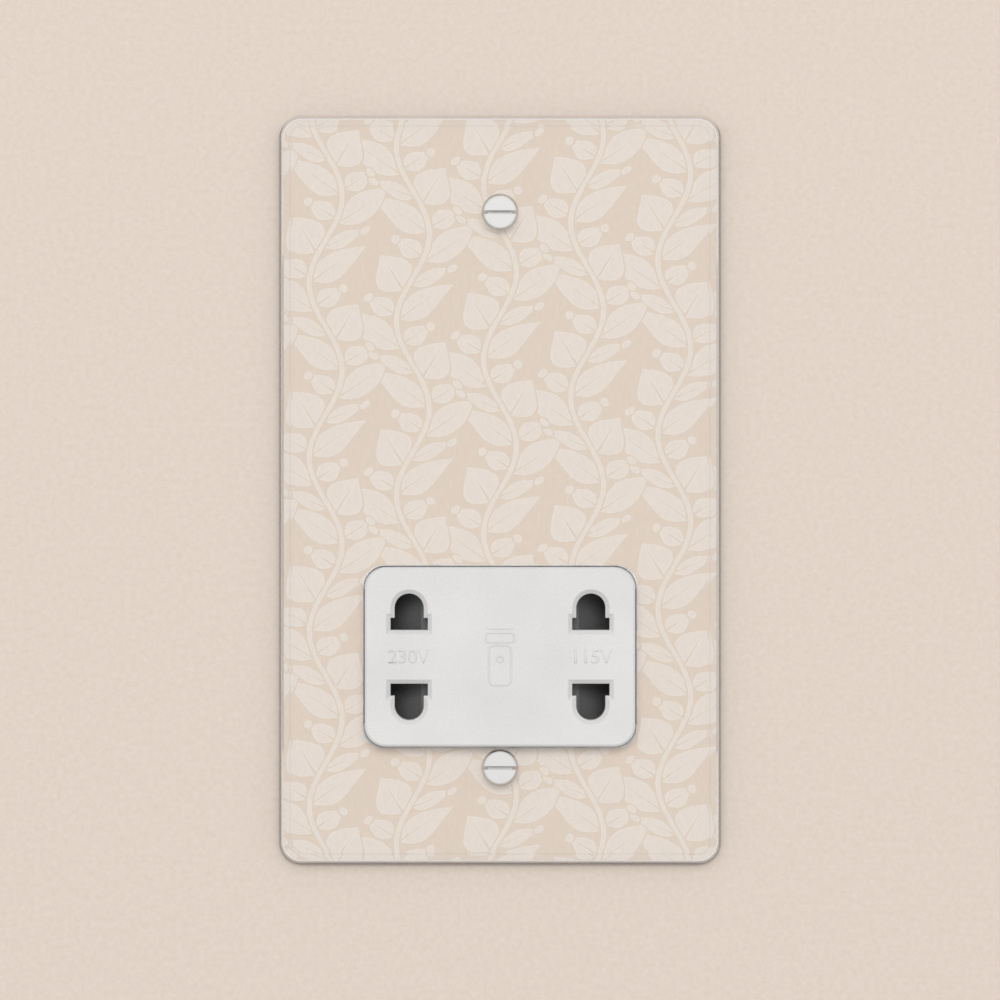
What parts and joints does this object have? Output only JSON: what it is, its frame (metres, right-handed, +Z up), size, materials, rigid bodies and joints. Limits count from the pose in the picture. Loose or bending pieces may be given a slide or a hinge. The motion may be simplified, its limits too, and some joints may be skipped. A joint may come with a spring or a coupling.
{
  "type": "shaver socket",
  "caption": "Wall shaver socket: clear bevelled plate, white dual-voltage outlet module with a sliding interlock shutter, and an isolating transformer in a rear housing.",
  "frame": {"origin": "centre of the face plate on the wall plane, midway between the two box fixing holes", "axes": "+Z up, +X to the right as seen from the front, +Y into the wall, so the front faces -Y"},
  "size_m": [0.086, 0.0475, 0.146],
  "materials": {
    "clear_acrylic": "polished clear",
    "white_screw": "satin white paint",
    "wall_paper": "matt paper with a tonal print",
    "frame_steel": "zinc plated",
    "white_moulding": "fine spark grain",
    "grey_moulding": "satin",
    "spring_wire": "bright drawn wire",
    "black_moulding": "satin",
    "contact_brass": "rolled strip",
    "screw_steel": "zinc plated",
    "core_steel": "varnished laminations",
    "bobbin_moulding": "natural nylon",
    "copper_winding": "enamelled copper wire",
    "cutout_case": "gloss",
    "housing_moulding": "light grain"
  },
  "bodies": {
    "socket": {"faceplate": "clear_acrylic", "plate_screws": "white_screw", "paper_liner": "wall_paper", "mounting_frame": "frame_steel", "socket_front": "white_moulding", "centring_spring": "spring_wire", "contact_carrier": "black_moulding", "contact_230_upper": "contact_brass", "contact_230_lower": "contact_brass", "contact_115_upper": "contact_brass", "contact_115_lower": "contact_brass", "transformer_core": "core_steel", "coil_bobbin": "bobbin_moulding", "primary_winding": "copper_winding", "secondary_winding": "copper_winding", "thermal_cutout": "cutout_case", "core_clamp_upper": "frame_steel", "core_clamp_lower": "frame_steel", "rear_housing": "housing_moulding", "housing_screws": "screw_steel", "terminal_live": "contact_brass", "terminal_neutral": "contact_brass", "terminal_earth": "contact_brass", "terminal_screws": "screw_steel"},
    "shutter": {"interlock_shutter": "grey_moulding"}
  },
  "joints": [
    {"name": "shutter_slide", "type": "slide", "parent": "socket", "child": "shutter", "axis": [1, 0, 0], "range_m": [-0.0072, 0.0072], "stiffness_N_per_m": 150, "deforming": ["centring_spring"]}
  ]
}
